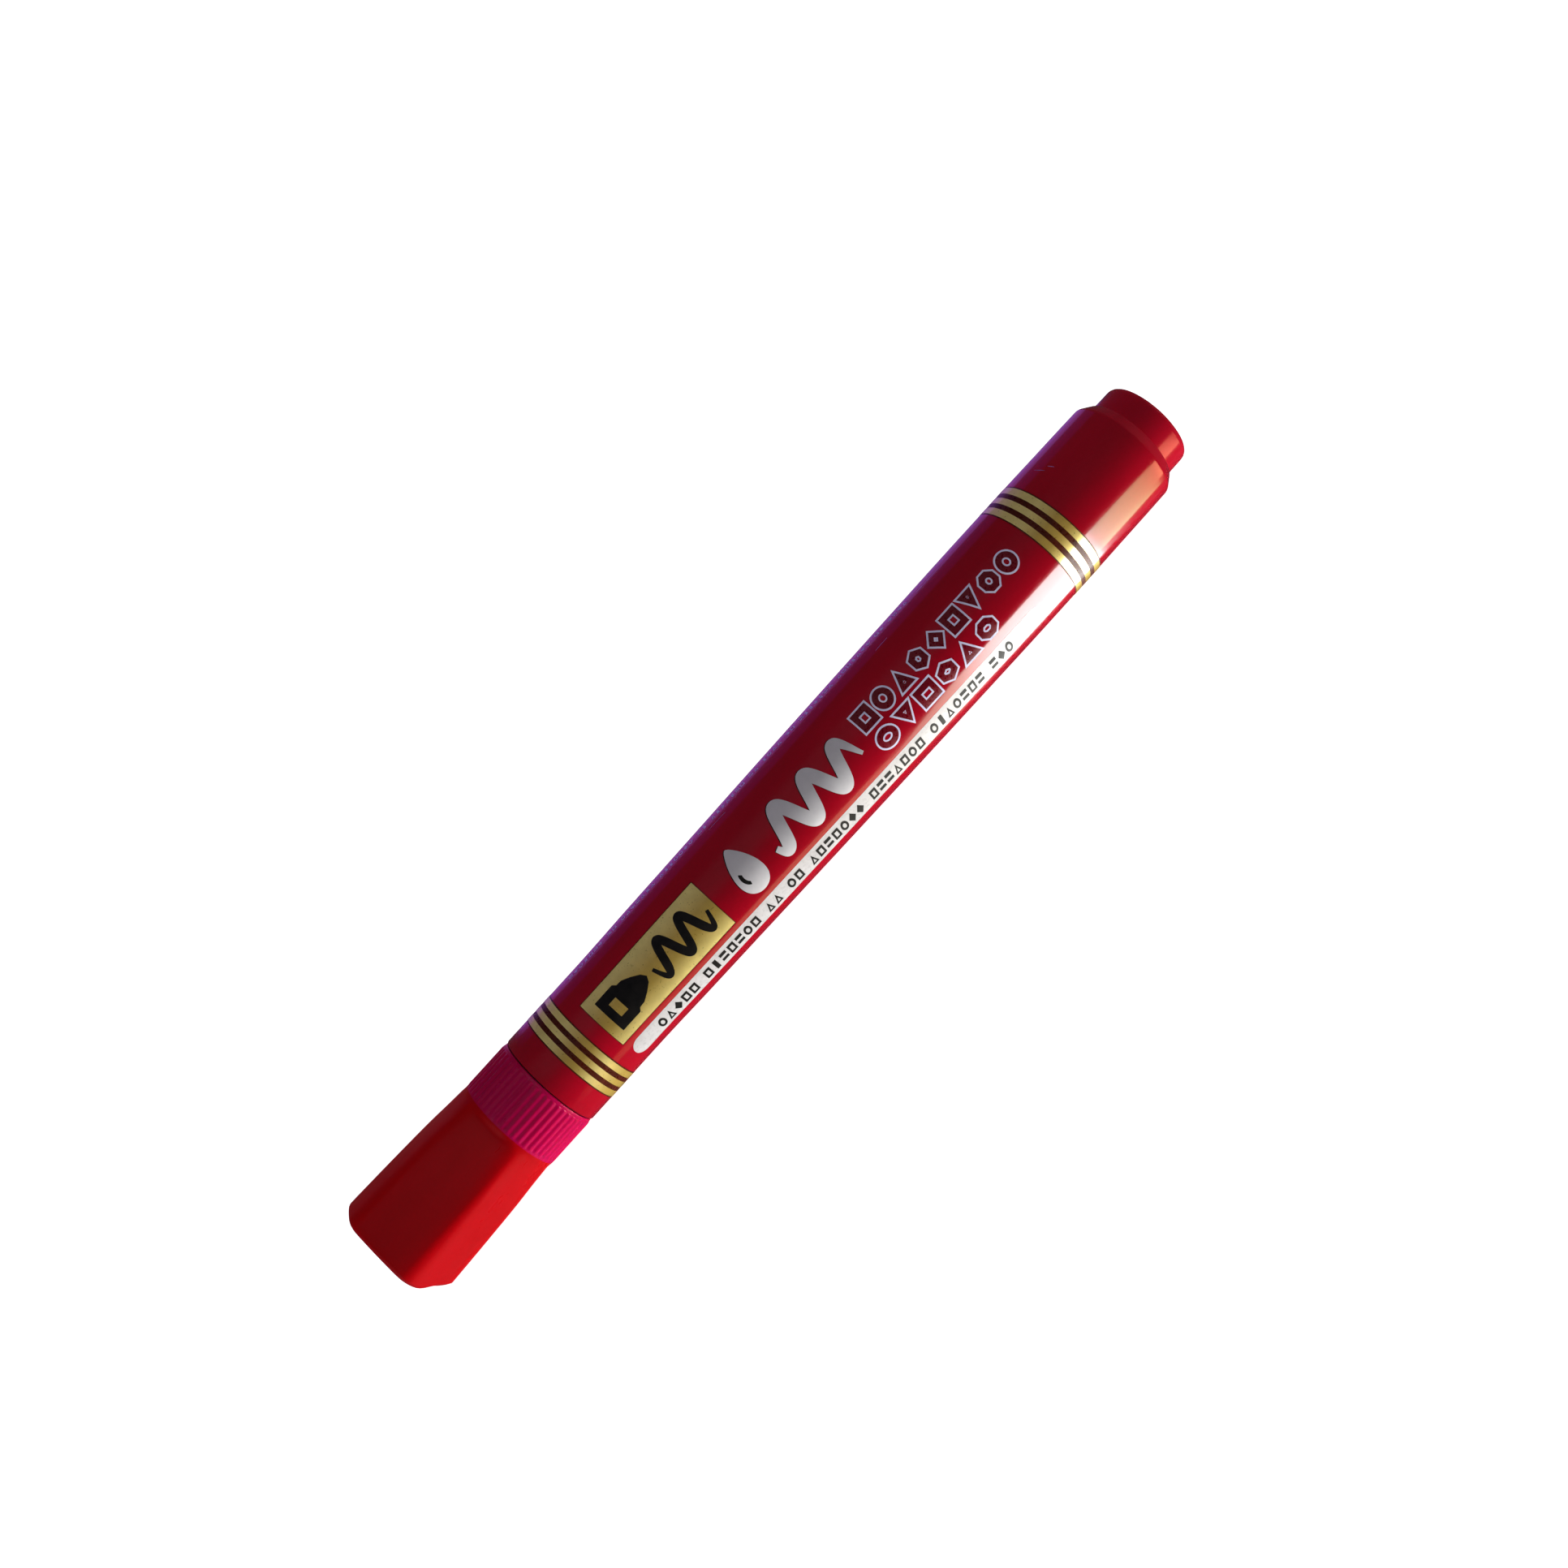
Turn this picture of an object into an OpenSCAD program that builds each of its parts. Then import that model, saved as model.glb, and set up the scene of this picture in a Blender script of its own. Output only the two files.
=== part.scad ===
// Capped bullet-tip marker, lying on its side.
// Millimetres. The long axis runs along X: cap at -X, end plug at +X. Z is up.
// The origin is under the middle of the marker, on the surface it lies on.

/* [Overall] */
// Length from the cap's closed end to the end plug's face
overall_length = 140; // [130:1:150]
// Height of the long axis above the surface the marker lies on
axis_height = 7.8; // [7:0.1:9]

/* [Cap] */
// Length of the cap, from its closed end to its mouth
cap_length = 27.95; // [24:0.05:34]
// Radius over the ribs of the round collar at the mouth
collar_radius = 7.1; // [6.8:0.05:7.6]
// Length of the ribbed collar
collar_length = 6.95; // [5:0.05:10]
// Number of grip ribs round the collar
rib_count = 48; // [24:1:72]
// Depth of the grooves between the ribs
rib_depth = 0.13; // [0.05:0.01:0.25]
// Width of each groove
rib_gap = 0.42; // [0.2:0.01:0.6]
// Radius over the rounded corners at the closed end
cap_end_radius = 8.2; // [7.6:0.05:9]
// Distance from the axis to the three wide flats, at the closed end
wide_flat_end = 6.95; // [6.2:0.05:7.6]
// Distance from the axis to the three wide flats, beside the collar
wide_flat_start = 6.45; // [6:0.05:7]
// Distance from the axis to the three narrow flats, beside the collar
narrow_flat_start = 7; // [6.8:0.05:7.6]
// Bore of the cap where it slides over the nib holder's skirt
cap_bore_radius = 6.36; // [6:0.01:6.6]
// Depth of that bore from the mouth
cap_bore_depth = 7.9; // [6:0.1:10]
// Radius of the snap groove inside the mouth
snap_groove_radius = 6.48; // [6.4:0.01:6.7]
// Thickness of the cap's closed end
cap_end_wall = 1.4; // [0.8:0.1:2.5]

/* [Inner cap] */
// Outside radius of the soft liner inside the cap
liner_radius = 5.35; // [4.8:0.05:5.8]
// Radius of the band that seals round the nose
seal_radius = 3.74; // [3.6:0.01:4]
// Radius of the free space round the nib
liner_space_radius = 3.55; // [3:0.05:4]
// Wall at the liner's closed end
liner_end_wall = 0.8; // [0.4:0.1:1.5]

/* [Barrel] */
// Outside radius at the front, beside the cap
barrel_front_radius = 7.04; // [6.6:0.01:7.4]
// Largest outside radius, near the tail
barrel_max_radius = 7.8; // [7.4:0.01:8.2]
// Outside radius just before the tail's rounded edge
barrel_tail_radius = 7.7; // [7.3:0.01:8.1]
// Gap between the cap's mouth and the barrel's front face
cap_gap = 0.25; // [0.1:0.05:0.5]
// Bore at the front that holds the nib holder's spigot
spigot_bore_radius = 5.6; // [5:0.01:6]
// Length of that front bore
spigot_bore_length = 7.8; // [5:0.1:12]
// Bore round the reservoir, front end
reservoir_bore_front = 5.75; // [5.6:0.01:6]
// Bore round the reservoir, tail end
reservoir_bore_tail = 6.25; // [6:0.01:6.5]
// Bore that holds the end plug
plug_bore_radius = 6.55; // [6.4:0.01:6.8]
// Depth of the end plug's bore
plug_bore_depth = 9.2; // [6:0.1:14]

/* [End plug] */
// Length of the boss that stands out of the barrel
boss_length = 3.8; // [2.5:0.1:6]
// Radius of the boss; the cap can be pushed onto it
boss_radius = 6.33; // [6:0.01:6.35]
// Rounding of the boss's end edge
boss_edge = 0.8; // [0.2:0.1:1.5]
// Radius of the plug inside the barrel
plug_radius = 6.52; // [6.3:0.01:6.7]
// Wall thickness of the plug
plug_wall = 1.3; // [0.8:0.1:2]

/* [Nib holder] */
// Radius of the skirt that the cap slides over
skirt_radius = 6.15; // [5.8:0.01:6.3]
// Length of the skirt in front of the barrel
skirt_length = 7.2; // [5:0.1:9]
// Radius of the snap bead round the skirt
bead_radius = 6.31; // [6.2:0.01:6.35]
// Radius of the spigot inside the barrel
spigot_radius = 5.57; // [5:0.01:5.9]
// Radius of the nose, at the skirt
nose_root_radius = 3.65; // [3.2:0.01:4]
// Radius of the nose, at the nib
nose_tip_radius = 3.1; // [2.6:0.01:3.4]
// Distance from the barrel's front face to the nose's tip
nose_reach = 16.4; // [12:0.1:20]

/* [Nib and ink] */
// Radius of the felt nib
nib_radius = 2; // [1:0.05:2.5]
// Length of nib that stands out of the nose
nib_exposed = 4.6; // [2:0.1:6]
// Total length of the nib
nib_length = 34; // [26:0.5:40]
// Radius of the fibre reservoir
reservoir_radius = 5.3; // [4.5:0.05:5.5]
// Length of the fibre reservoir
reservoir_length = 84.5; // [60:0.5:90]
// Thickness of the film round the reservoir
film_wall = 0.15; // [0.1:0.01:0.3]

/* [Hidden] */
$fn = 96;
// Positions along X
cap_end_x = -overall_length / 2;
cap_mouth_x = cap_end_x + cap_length;
collar_x = cap_mouth_x - collar_length;
barrel_front_x = cap_mouth_x + cap_gap;
barrel_tail_x = overall_length / 2 - boss_length;
plug_end_x = overall_length / 2;
nose_tip_x = barrel_front_x - nose_reach;
skirt_front_x = barrel_front_x - skirt_length;
spigot_end_x = barrel_front_x + spigot_bore_length - 0.6;
nib_tip_x = nose_tip_x - nib_exposed;
reservoir_front_x = spigot_end_x + 0.6;
reservoir_tail_x = reservoir_front_x + reservoir_length;
plug_bore_x = barrel_tail_x - plug_bore_depth;
cap_step_x = cap_mouth_x - cap_bore_depth;
cap_hollow_end_x = cap_end_x + cap_end_wall;
liner_end_x = cap_hollow_end_x + 0.1;
bead_x = barrel_front_x - 3.6;
// Everything that is turned on a lathe is drawn as radius and position
steps = 10;

// Which part to show

// Stands a shape drawn along Z onto the marker's long axis
module on_axis() {
  translate([0, 0, axis_height])
    rotate([0, 90, 0])
      children();
}

// Turned shape from a list of [radius, position along X]
module turned(points) {
  on_axis()
    rotate_extrude()
      polygon(points);
}

// Block that cuts one flat on the cap. The flat leans out towards the closed end.
module cap_flat(angle, start_distance, end_distance) {
  step_x = collar_x - 0.15;
  run = step_x - cap_end_x;
  lean = atan((end_distance - start_distance) / run);
  on_axis()
    rotate([0, 0, angle])
      translate([start_distance, 0, step_x])
        rotate([0, -lean, 0])
          translate([0, -10, -run - 2])
            cube([6, 20, run + 2]);
}

// Outside of the cap's body before its flats are cut
module cap_blank() {
  turned([
    [0, cap_end_x],
    [cap_end_radius - 1.1, cap_end_x],
    [cap_end_radius - 0.35, cap_end_x + 0.35],
    [cap_end_radius, cap_end_x + 1.1],
    [cap_end_radius - 0.03, cap_end_x + 2],
    [cap_end_radius - 0.17, cap_end_x + 6],
    [cap_end_radius - 0.34, cap_end_x + 9.8],
    [cap_end_radius - 0.6, cap_end_x + 13.7],
    [collar_radius + 0.2, cap_end_x + 17.6],
    [collar_radius, collar_x],
    [collar_radius, cap_mouth_x - 0.15],
    [collar_radius - 0.15, cap_mouth_x],
    [0, cap_mouth_x]
  ]);
}

// Space inside the cap
module cap_hollow() {
  turned([
    [0, cap_hollow_end_x],
    [liner_radius - 0.05, cap_hollow_end_x],
    [liner_radius + 0.05, cap_step_x - 0.5],
    [cap_bore_radius, cap_step_x],
    [cap_bore_radius, bead_x - 0.6],
    [snap_groove_radius, bead_x - 0.4],
    [snap_groove_radius, bead_x + 0.4],
    [cap_bore_radius, bead_x + 0.6],
    [cap_bore_radius, cap_mouth_x - 0.3],
    [cap_bore_radius + 0.3, cap_mouth_x],
    [cap_bore_radius + 0.3, cap_mouth_x + 1],
    [0, cap_mouth_x + 1]
  ]);
}

// Grooves between the grip ribs
module rib_grooves() {
  groove_start = collar_x + 0.3;
  groove_length = collar_length - 0.7;
  on_axis()
    for (i = [0 : rib_count - 1])
      rotate([0, 0, i * 360 / rib_count])
        translate([collar_radius - rib_depth, -rib_gap / 2, groove_start])
          cube([1, rib_gap, groove_length]);
}

// Coloured cap: ribbed round collar, six flats towards the closed end
module cap_shell() {
  color([0.62, 0.02, 0.08])
    difference() {
      cap_blank();
      for (angle = [60, 180, 300])
        cap_flat(angle, wide_flat_start, wide_flat_end);
      for (angle = [0, 120, 240])
        cap_flat(angle, narrow_flat_start, axis_height);
      rib_grooves();
      cap_hollow();
    }
}

// Soft liner that seals round the nose and keeps the nib from drying
module inner_cap() {
  color([0.92, 0.92, 0.9])
    turned([
      [0, liner_end_x],
      [liner_radius - 0.11, liner_end_x],
      [liner_radius - 0.01, cap_step_x - 0.6],
      [liner_radius - 0.3, cap_step_x - 0.3],
      [seal_radius + 0.9, cap_step_x - 0.3],
      [seal_radius, cap_step_x - 1.8],
      [seal_radius, cap_step_x - 3.4],
      [liner_space_radius, cap_step_x - 5],
      [liner_space_radius, liner_end_x + liner_end_wall + 0.4],
      [liner_space_radius - 0.4, liner_end_x + liner_end_wall],
      [0, liner_end_x + liner_end_wall]
    ]);
}

// Outside of the barrel as turned
module barrel_outside() {
  turned([
    [0, barrel_front_x],
    [barrel_front_radius - 0.15, barrel_front_x],
    [barrel_front_radius, barrel_front_x + 0.15],
    [barrel_front_radius, barrel_front_x + 12],
    [barrel_front_radius + 0.27, barrel_front_x + 31],
    [barrel_front_radius + 0.5, barrel_front_x + 51],
    [barrel_max_radius - 0.1, barrel_front_x + 71],
    [barrel_max_radius, barrel_front_x + 85],
    [barrel_max_radius, barrel_front_x + 92],
    [barrel_tail_radius, barrel_tail_x - 1.7],
    [barrel_tail_radius - 0.25, barrel_tail_x - 0.95],
    [plug_bore_radius + 0.1, barrel_tail_x],
    [0, barrel_tail_x]
  ]);
}

// Tube that holds the ink, open at both ends for the holder and the plug
module barrel() {
  color([0.66, 0.02, 0.09])
    difference() {
      barrel_outside();
      turned([
        [0, barrel_front_x - 1],
        [spigot_bore_radius, barrel_front_x - 1],
        [spigot_bore_radius, reservoir_front_x],
        [reservoir_bore_front, reservoir_front_x],
        [reservoir_bore_tail, plug_bore_x],
        [plug_bore_radius, plug_bore_x],
        [plug_bore_radius, barrel_tail_x + 1],
        [0, barrel_tail_x + 1]
      ]);
    }
}

// Plug that closes the tail. Its boss shows, and a tube holds the reservoir forward.
module tail_plug() {
  stop_x = reservoir_tail_x + 0.3;
  inner_end_x = plug_end_x - 1.4;
  color([0.6, 0.02, 0.08])
    turned([
      [2.4, stop_x],
      [3.4, stop_x],
      [3.4, inner_end_x],
      [plug_radius - plug_wall, inner_end_x],
      [plug_radius - plug_wall, plug_bore_x + 0.2],
      [plug_radius, plug_bore_x + 0.5],
      [plug_radius, barrel_tail_x],
      [boss_radius, barrel_tail_x],
      [boss_radius, plug_end_x - boss_edge],
      [boss_radius - boss_edge * 0.3, plug_end_x - boss_edge * 0.3],
      [boss_radius - boss_edge, plug_end_x],
      [0, plug_end_x],
      [0, inner_end_x],
      [2.4, inner_end_x]
    ]);
}

// Channels beside the nib that let air reach the reservoir
module air_channels() {
  on_axis()
    for (angle = [45, 135, 225, 315])
      rotate([0, 0, angle])
        translate([nib_radius - 0.4, -0.3, nose_tip_x - 1])
          cube([0.85, 0.6, skirt_front_x - nose_tip_x + 5]);
}

// Front collar: spigot in the barrel, skirt and bead for the cap, nose for the nib
module nib_holder() {
  color([0.12, 0.12, 0.13])
    difference() {
      turned([
        [nib_radius + 0.05, nose_tip_x],
        [nose_tip_radius - 0.3, nose_tip_x],
        [nose_tip_radius, nose_tip_x + 0.3],
        [nose_root_radius, skirt_front_x - 1.6],
        [skirt_radius - 0.5, skirt_front_x],
        [skirt_radius, skirt_front_x + 0.5],
        [skirt_radius, bead_x - 0.3],
        [bead_radius, bead_x],
        [skirt_radius, bead_x + 0.3],
        [skirt_radius, barrel_front_x - 0.05],
        [spigot_radius, barrel_front_x - 0.05],
        [spigot_radius, spigot_end_x - 0.4],
        [spigot_radius - 0.4, spigot_end_x],
        [spigot_radius - 1.1, spigot_end_x],
        [spigot_radius - 1.1, skirt_front_x + 1.6],
        [nib_radius + 0.05, skirt_front_x + 1.6]
      ]);
      air_channels();
    }
}

// Felt nib: bullet front, wedge tail inside the reservoir
module nib() {
  wedge_start_x = nib_tip_x + nib_length - 3.2;
  color([0.45, 0.02, 0.1])
    difference() {
      turned(concat(
        [for (i = [0 : steps])
          [nib_radius * sin(90 * i / steps), nib_tip_x + 2.6 * (1 - cos(90 * i / steps))]],
        [
          [nib_radius, nib_tip_x + nib_length],
          [0, nib_tip_x + nib_length]
        ]
      ));
      for (side = [0, 180])
        on_axis()
          rotate([0, 0, side])
            translate([nib_radius, -3, wedge_start_x])
              rotate([0, -29, 0])
                cube([4, 6, 8]);
    }
}

// Fibre core that holds the ink, with the hollow the nib's tail presses into it
module ink_reservoir() {
  color([0.5, 0.03, 0.12])
    turned([
      [nib_radius + 0.05, reservoir_front_x + 0.1],
      [reservoir_radius, reservoir_front_x + 0.1],
      [reservoir_radius, reservoir_tail_x],
      [0, reservoir_tail_x],
      [0, nib_tip_x + nib_length + 0.1],
      [nib_radius + 0.05, nib_tip_x + nib_length + 0.1]
    ]);
}

// Plastic film wrapped round the fibre core
module reservoir_film() {
  inside = reservoir_radius + 0.05;
  color([0.85, 0.8, 0.82])
    turned([
      [inside, reservoir_front_x + 0.5],
      [inside + film_wall, reservoir_front_x + 0.5],
      [inside + film_wall, reservoir_tail_x - 0.4],
      [inside, reservoir_tail_x - 0.4]
    ]);
}

cap_shell();
inner_cap();
barrel();
tail_plug();
nib_holder();
nib();
ink_reservoir();
reservoir_film();
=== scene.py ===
import math
import random

import bpy
import numpy as np
from mathutils import Matrix, Vector
from mathutils.geometry import delaunay_2d_cdt


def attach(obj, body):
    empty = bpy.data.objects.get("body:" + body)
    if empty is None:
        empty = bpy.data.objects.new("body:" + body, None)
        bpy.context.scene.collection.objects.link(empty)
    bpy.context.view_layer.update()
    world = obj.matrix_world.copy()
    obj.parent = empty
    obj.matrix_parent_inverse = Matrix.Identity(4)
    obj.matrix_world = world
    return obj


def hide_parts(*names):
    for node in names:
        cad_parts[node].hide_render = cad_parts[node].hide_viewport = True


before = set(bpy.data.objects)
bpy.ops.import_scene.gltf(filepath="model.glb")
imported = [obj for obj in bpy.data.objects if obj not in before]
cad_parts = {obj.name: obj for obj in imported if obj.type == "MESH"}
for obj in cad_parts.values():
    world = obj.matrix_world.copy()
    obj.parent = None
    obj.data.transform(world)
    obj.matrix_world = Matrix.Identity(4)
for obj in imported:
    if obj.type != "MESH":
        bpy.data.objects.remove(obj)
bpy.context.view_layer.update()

MM = 0.001
AXIS_Z = 7.8            # height of the marker's long axis, mm
PRINT_TURN = 12.0       # the decoration's centre line, degrees from the top towards -Y
PRINT_RADIUS = 7.4      # radius that arc lengths of the decoration are measured at, mm
rng = random.Random(7)


# ---------------------------------------------------------------- mesh helpers

def smoothstep(a, b, x):
    t = np.clip((np.asarray(x, float) - a) / (b - a), 0.0, 1.0)
    return t * t * (3 - 2 * t)


def curve_through(points, xs):
    """Monotone cubic through [(x, value)], read at xs."""
    px = np.array([p[0] for p in points], float)
    py = np.array([p[1] for p in points], float)
    h = np.diff(px)
    d = np.diff(py) / h
    m = np.zeros(len(px))
    m[0], m[-1] = d[0], d[-1]
    for i in range(1, len(px) - 1):
        if d[i - 1] * d[i] > 0:
            w1, w2 = 2 * h[i] + h[i - 1], h[i] + 2 * h[i - 1]
            m[i] = (w1 + w2) / (w1 / d[i - 1] + w2 / d[i])
    xs = np.clip(np.asarray(xs, float), px[0], px[-1])
    i = np.clip(np.searchsorted(px, xs) - 1, 0, len(h) - 1)
    t = (xs - px[i]) / h[i]
    return ((2 * t**3 - 3 * t**2 + 1) * py[i] + (t**3 - 2 * t**2 + t) * h[i] * m[i]
            + (-2 * t**3 + 3 * t**2) * py[i + 1] + (t**3 - t**2) * h[i] * m[i + 1])


def filleted(corners, steps=5):
    """[(x, r)] profile from [(x, r, fillet radius)] corners."""
    out = []
    n = len(corners)
    for i, (x, r, f) in enumerate(corners):
        p = np.array([x, r], float)
        if f <= 0 or i in (0, n - 1):
            out.append((x, r))
            continue
        a = np.array(corners[i - 1][:2], float) - p
        b = np.array(corners[i + 1][:2], float) - p
        la, lb = np.linalg.norm(a), np.linalg.norm(b)
        a, b = a / la, b / lb
        half = math.acos(max(-1.0, min(1.0, float(a @ b)))) / 2
        cut = min(f / math.tan(half), la * 0.49, lb * 0.49)
        for k in range(steps + 1):
            t = k / steps
            q = (1 - t) ** 2 * (p + a * cut) + 2 * t * (1 - t) * p + t * t * (p + b * cut)
            out.append((float(q[0]), float(q[1])))
    return out


def point(x, r, turn):
    """Row-frame point in metres; turn in radians from the top towards -Y."""
    return (x * MM, -r * math.sin(turn) * MM, (AXIS_Z + r * math.cos(turn)) * MM)


def new_mesh(name, verts, faces, material, body, replaces=(), slot=None, sharp=38.0):
    mesh = bpy.data.meshes.new(name)
    mesh.from_pydata([tuple(v) for v in verts], [], [tuple(f) for f in faces])
    mesh.validate()
    mesh.shade_smooth()
    mesh.set_sharp_from_angle(angle=math.radians(sharp))
    mesh.materials.append(material)
    obj = bpy.data.objects.new(name, mesh)
    bpy.context.scene.collection.objects.link(obj)
    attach(obj, body)
    if replaces:
        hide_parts(*replaces)
    return obj


def turned(name, profile, material, body, segments=192, closed=True, **rest):
    """Lathed piece from [(x, r)]. A closed profile makes a tube; r of 0 makes a pole."""
    verts, faces, rings = [], [], []
    for x, r in profile:
        if r < 1e-6:
            rings.append([len(verts)])
            verts.append(point(x, 0.0, 0.0))
        else:
            rings.append(list(range(len(verts), len(verts) + segments)))
            verts.extend(point(x, r, 2 * math.pi * k / segments) for k in range(segments))
    pairs = list(zip(rings, rings[1:]))
    if closed:
        pairs.append((rings[-1], rings[0]))
    for a, b in pairs:
        if len(a) == 1 and len(b) == 1:
            continue
        for k in range(segments):
            n = (k + 1) % segments
            if len(a) == 1:
                faces.append((a[0], b[n], b[k]))
            elif len(b) == 1:
                faces.append((a[k], a[n], b[0]))
            else:
                faces.append((a[k], a[n], b[n], b[k]))
    return new_mesh(name, verts, faces, material, body, **rest)


def barrel_radius(x):
    return curve_through(
        [(-41.8, 7.04), (-29.8, 7.045), (-20, 7.19), (-10.8, 7.30), (9.2, 7.54),
         (29.2, 7.72), (43.2, 7.80), (50.2, 7.80), (57, 7.76), (64.4, 7.70), (66.3, 7.6)], x)


# ---------------------------------------------------------------- materials

def node_material(name):
    mat = bpy.data.materials.new(name)
    mat.use_nodes = True
    tree = mat.node_tree
    tree.nodes.clear()
    out = tree.nodes.new("ShaderNodeOutputMaterial")
    shader = tree.nodes.new("ShaderNodeBsdfPrincipled")
    tree.links.new(shader.outputs["BSDF"], out.inputs["Surface"])
    return mat, tree, shader


def texture(tree, kind, scale, detail=3.0, stretch=(1, 1, 1), rough=0.55):
    """A 3-D texture in the piece's own metres; scale is features per metre."""
    where = tree.nodes.new("ShaderNodeTexCoord")
    mapping = tree.nodes.new("ShaderNodeMapping")
    mapping.inputs["Scale"].default_value = stretch
    tree.links.new(where.outputs["Object"], mapping.inputs["Vector"])
    node = tree.nodes.new(kind)
    node.inputs["Scale"].default_value = scale
    if "Detail" in node.inputs:
        node.inputs["Detail"].default_value = detail
    if "Roughness" in node.inputs:
        node.inputs["Roughness"].default_value = rough
    tree.links.new(mapping.outputs["Vector"], node.inputs["Vector"])
    return node


def ramp(tree, source, stops, output=0):
    node = tree.nodes.new("ShaderNodeValToRGB")
    tree.links.new(source.outputs[output], node.inputs["Fac"])
    elements = node.color_ramp.elements
    while len(elements) < len(stops):
        elements.new(0.5)
    for element, (at, value) in zip(elements, stops):
        element.position = at
        element.color = (*value, 1.0) if len(value) == 3 else value
    return node


def grey(v):
    return (v, v, v)


def mix(tree, mode, factor, a, b):
    node = tree.nodes.new("ShaderNodeMix")
    node.data_type = "RGBA"
    node.blend_type = mode
    if hasattr(factor, "outputs"):
        tree.links.new(factor.outputs[0], node.inputs[0])
    else:
        node.inputs[0].default_value = factor
    for source, socket in ((a, 6), (b, 7)):
        if hasattr(source, "outputs"):
            out = source.outputs[2] if source.bl_idname == "ShaderNodeMix" else source.outputs[0]
            tree.links.new(out, node.inputs[socket])
        else:
            node.inputs[socket].default_value = (*source, 1.0)
    return node


def bumps(tree, shader, layers):
    """layers: [(node, output, strength, distance in metres)], stacked."""
    before = None
    for node, output, strength, distance in layers:
        bump = tree.nodes.new("ShaderNodeBump")
        bump.inputs["Strength"].default_value = strength
        bump.inputs["Distance"].default_value = distance
        tree.links.new(node.outputs[output], bump.inputs["Height"])
        if before:
            tree.links.new(before.outputs["Normal"], bump.inputs["Normal"])
        before = bump
    tree.links.new(before.outputs["Normal"], shader.inputs["Normal"])


def plastic(name, deep, main, bright, rough=(0.16, 0.30), sub=0.12, scratch=0.3, coat=0.0, shine=0.5):
    """Moulded plastic: flow clouds in the colour, handling marks in the gloss, fine scratches."""
    mat, tree, shader = node_material(name)
    clouds = texture(tree, "ShaderNodeTexNoise", 90, 4, stretch=(0.35, 1, 1))
    speck = texture(tree, "ShaderNodeTexNoise", 2600, 2)
    tint = ramp(tree, clouds, [(0.3, deep), (0.52, main), (0.75, bright)])
    fine = ramp(tree, speck, [(0.3, grey(0.93)), (0.7, grey(1.0))])
    colour = mix(tree, "MULTIPLY", 1.0, tint, fine)
    tree.links.new(colour.outputs[2], shader.inputs["Base Color"])
    marks = texture(tree, "ShaderNodeTexNoise", 240, 5, stretch=(0.25, 1, 1), rough=0.7)
    gloss = ramp(tree, marks, [(0.32, grey(rough[0])), (0.72, grey(rough[1]))])
    tree.links.new(gloss.outputs[0], shader.inputs["Roughness"])
    scratches = texture(tree, "ShaderNodeTexNoise", 700, 2, stretch=(0.05, 1.4, 1.4), rough=0.8)
    line = ramp(tree, scratches, [(0.60, grey(0.0)), (0.66, grey(1.0))])
    orange_peel = texture(tree, "ShaderNodeTexNoise", 420, 2)
    bumps(tree, shader, [(orange_peel, 0, 0.06, 0.00003), (line, 0, -scratch, 0.000002)])
    shader.inputs["IOR"].default_value = 1.49
    shader.inputs["Specular IOR Level"].default_value = shine
    shader.inputs["Subsurface Weight"].default_value = sub
    shader.inputs["Subsurface Radius"].default_value = (1.0, 0.12, 0.12)
    shader.inputs["Subsurface Scale"].default_value = 0.0012
    if coat:
        shader.inputs["Coat Weight"].default_value = coat
        shader.inputs["Coat Roughness"].default_value = 0.08
    return mat


def foil(name, stops, grain_tint, rough=(0.26, 0.42), metallic=0.35):
    """Metallic print with painted highlights and painted shade that run round the barrel; stops are (degrees
    from the top, colour).
    """
    mat, tree, shader = node_material(name)
    where = tree.nodes.new("ShaderNodeTexCoord")
    split = tree.nodes.new("ShaderNodeSeparateXYZ")
    tree.links.new(where.outputs["Object"], split.inputs[0])
    height = tree.nodes.new("ShaderNodeMath")
    height.operation = "SUBTRACT"
    height.inputs[1].default_value = AXIS_Z * MM
    tree.links.new(split.outputs["Z"], height.inputs[0])
    outward = tree.nodes.new("ShaderNodeMath")
    outward.operation = "MULTIPLY"
    outward.inputs[1].default_value = -1.0
    tree.links.new(split.outputs["Y"], outward.inputs[0])
    angle = tree.nodes.new("ShaderNodeMath")
    angle.operation = "ARCTAN2"
    tree.links.new(outward.outputs[0], angle.inputs[0])
    tree.links.new(height.outputs[0], angle.inputs[1])
    share = tree.nodes.new("ShaderNodeMapRange")
    share.inputs["From Min"].default_value = -math.pi
    share.inputs["From Max"].default_value = math.pi
    tree.links.new(angle.outputs[0], share.inputs["Value"])
    # painted highlight and shade: the colour turns lighter and darker with the angle round the barrel
    painted_sheen = ramp(tree, share, [((d + 180) / 360, c) for d, c in stops])
    clouds = texture(tree, "ShaderNodeTexNoise", 700, 5)
    patch = ramp(tree, clouds, [(0.3, grain_tint), (0.7, grey(1.0))])
    colour = mix(tree, "MULTIPLY", 1.0, painted_sheen, patch)
    tree.links.new(colour.outputs[2], shader.inputs["Base Color"])
    shader.inputs["Metallic"].default_value = metallic
    shader.inputs["Coat Weight"].default_value = 1.0
    shader.inputs["Coat IOR"].default_value = 1.75
    shader.inputs["Coat Roughness"].default_value = 0.13
    grain = texture(tree, "ShaderNodeTexNoise", 3200, 3)
    gloss = ramp(tree, grain, [(0.3, grey(rough[0])), (0.7, grey(rough[1]))])
    tree.links.new(gloss.outputs[0], shader.inputs["Roughness"])
    bumps(tree, shader, [(grain, 0, 0.2, 0.000005)])
    return mat


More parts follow.
